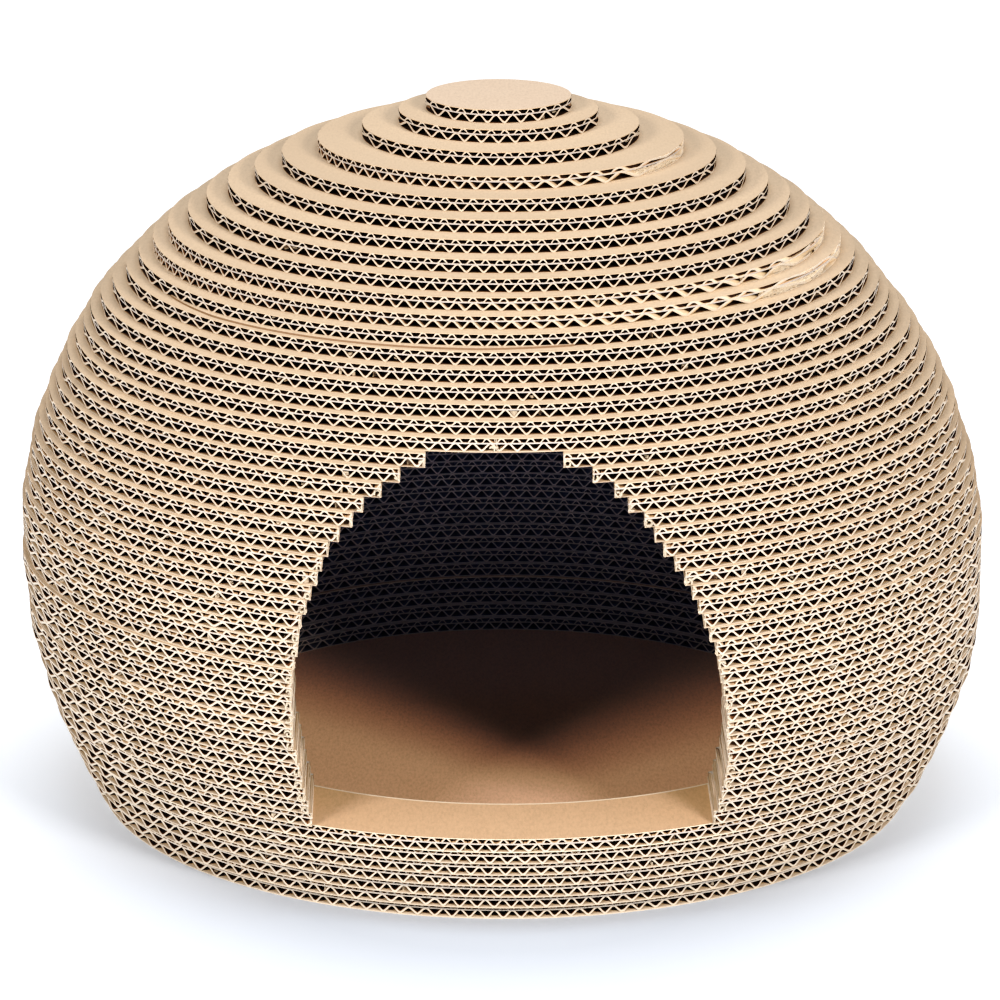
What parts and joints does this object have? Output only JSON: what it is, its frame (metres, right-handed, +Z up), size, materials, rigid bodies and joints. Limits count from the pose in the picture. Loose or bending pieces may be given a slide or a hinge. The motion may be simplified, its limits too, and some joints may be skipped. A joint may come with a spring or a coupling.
{
  "type": "cardboard cat house",
  "caption": "Dome-shaped cat house of stacked corrugated cardboard layers, with a roof, a hollow chamber, a recessed floor and an arched doorway above a sill.",
  "frame": {"origin": "on the axis of the dome, at the underside of the bottom floor disc, where the house stands", "axes": "+Z up along the axis of the dome, -Y out of the doorway, +X to the right of someone looking into the doorway"},
  "size_m": [0.47, 0.4543, 0.3432],
  "materials": {
    "roof_board": "matte kraft paper, with open flutes on the cut rim",
    "wall_board": "matte kraft paper, with open flutes on every cut edge",
    "floor_board": "matte kraft paper, with open flutes on the cut rim"
  },
  "bodies": {
    "root": {"layer_01_roof": "roof_board", "layer_02_roof": "roof_board", "layer_03_roof": "roof_board", "layer_04_roof": "roof_board", "layer_05_wall": "wall_board", "layer_06_wall": "wall_board", "layer_07_wall": "wall_board", "layer_08_wall": "wall_board", "layer_09_wall": "wall_board", "layer_10_wall": "wall_board", "layer_11_wall": "wall_board", "layer_12_wall": "wall_board", "layer_13_wall": "wall_board", "layer_14_wall": "wall_board", "layer_15_wall": "wall_board", "layer_16_wall": "wall_board", "layer_17_wall": "wall_board", "layer_18_wall": "wall_board", "layer_19_wall": "wall_board", "layer_20_wall": "wall_board", "layer_21_wall": "wall_board", "layer_22_wall": "wall_board", "layer_23_wall": "wall_board", "layer_24_wall": "wall_board", "layer_25_wall": "wall_board", "layer_26_wall": "wall_board", "layer_27_wall": "wall_board", "layer_28_wall": "wall_board", "layer_29_wall": "wall_board", "layer_30_wall": "wall_board", "layer_31_wall": "wall_board", "layer_32_wall": "wall_board", "layer_33_wall": "wall_board", "layer_34_wall": "wall_board", "layer_35_wall": "wall_board", "layer_36_wall": "wall_board", "layer_37_wall": "wall_board", "layer_38_wall": "wall_board", "layer_39_wall": "wall_board", "layer_40_wall": "wall_board", "layer_41_wall": "wall_board", "layer_42_wall": "wall_board", "layer_43_wall": "wall_board", "layer_44_wall": "wall_board", "layer_45_wall": "wall_board", "layer_46_wall": "wall_board", "layer_47_wall": "wall_board", "layer_48_wall": "wall_board", "layer_49_wall": "wall_board", "layer_50_floor": "floor_board", "layer_51_floor": "floor_board", "layer_52_floor": "floor_board"}
  },
  "joints": []
}
